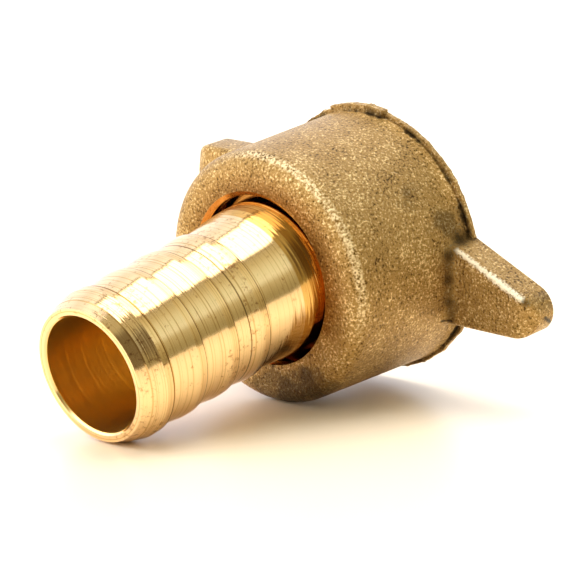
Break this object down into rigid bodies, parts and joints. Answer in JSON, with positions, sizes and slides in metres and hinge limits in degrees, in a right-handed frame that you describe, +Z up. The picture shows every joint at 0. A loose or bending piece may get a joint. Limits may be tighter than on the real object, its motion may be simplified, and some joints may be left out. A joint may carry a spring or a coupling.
{
  "type": "swivel wing nut hose tail",
  "caption": "Turned brass hose tail with barbs, held by its flange in a forged brass wing nut that swivels freely on it and seals on a rubber washer.",
  "frame": {"origin": "middle of the underside of the box round the whole fitting, on the floor it lies on", "axes": "+Z up, +X along the floor from the barbed end towards the nut, +Y across, with the nut's axis in the XZ plane"},
  "size_m": [0.0616, 0.0648, 0.0414],
  "materials": {
    "turned_brass": "bright, turned, with fine tool lines",
    "forged_brass": "matte, shot-blasted forging",
    "washer_rubber": "matte black rubber"
  },
  "bodies": {
    "tail": {"hose_tail": "turned_brass"},
    "nut": {"wing_nut": "forged_brass", "sealing_washer": "washer_rubber"}
  },
  "joints": [
    {"name": "nut_spin", "type": "hinge", "parent": "tail", "child": "nut", "pos_m": [0.00409, 0.00026, 0.01798], "axis": [0.9898, 0, 0.1422], "continuous": true}
  ]
}
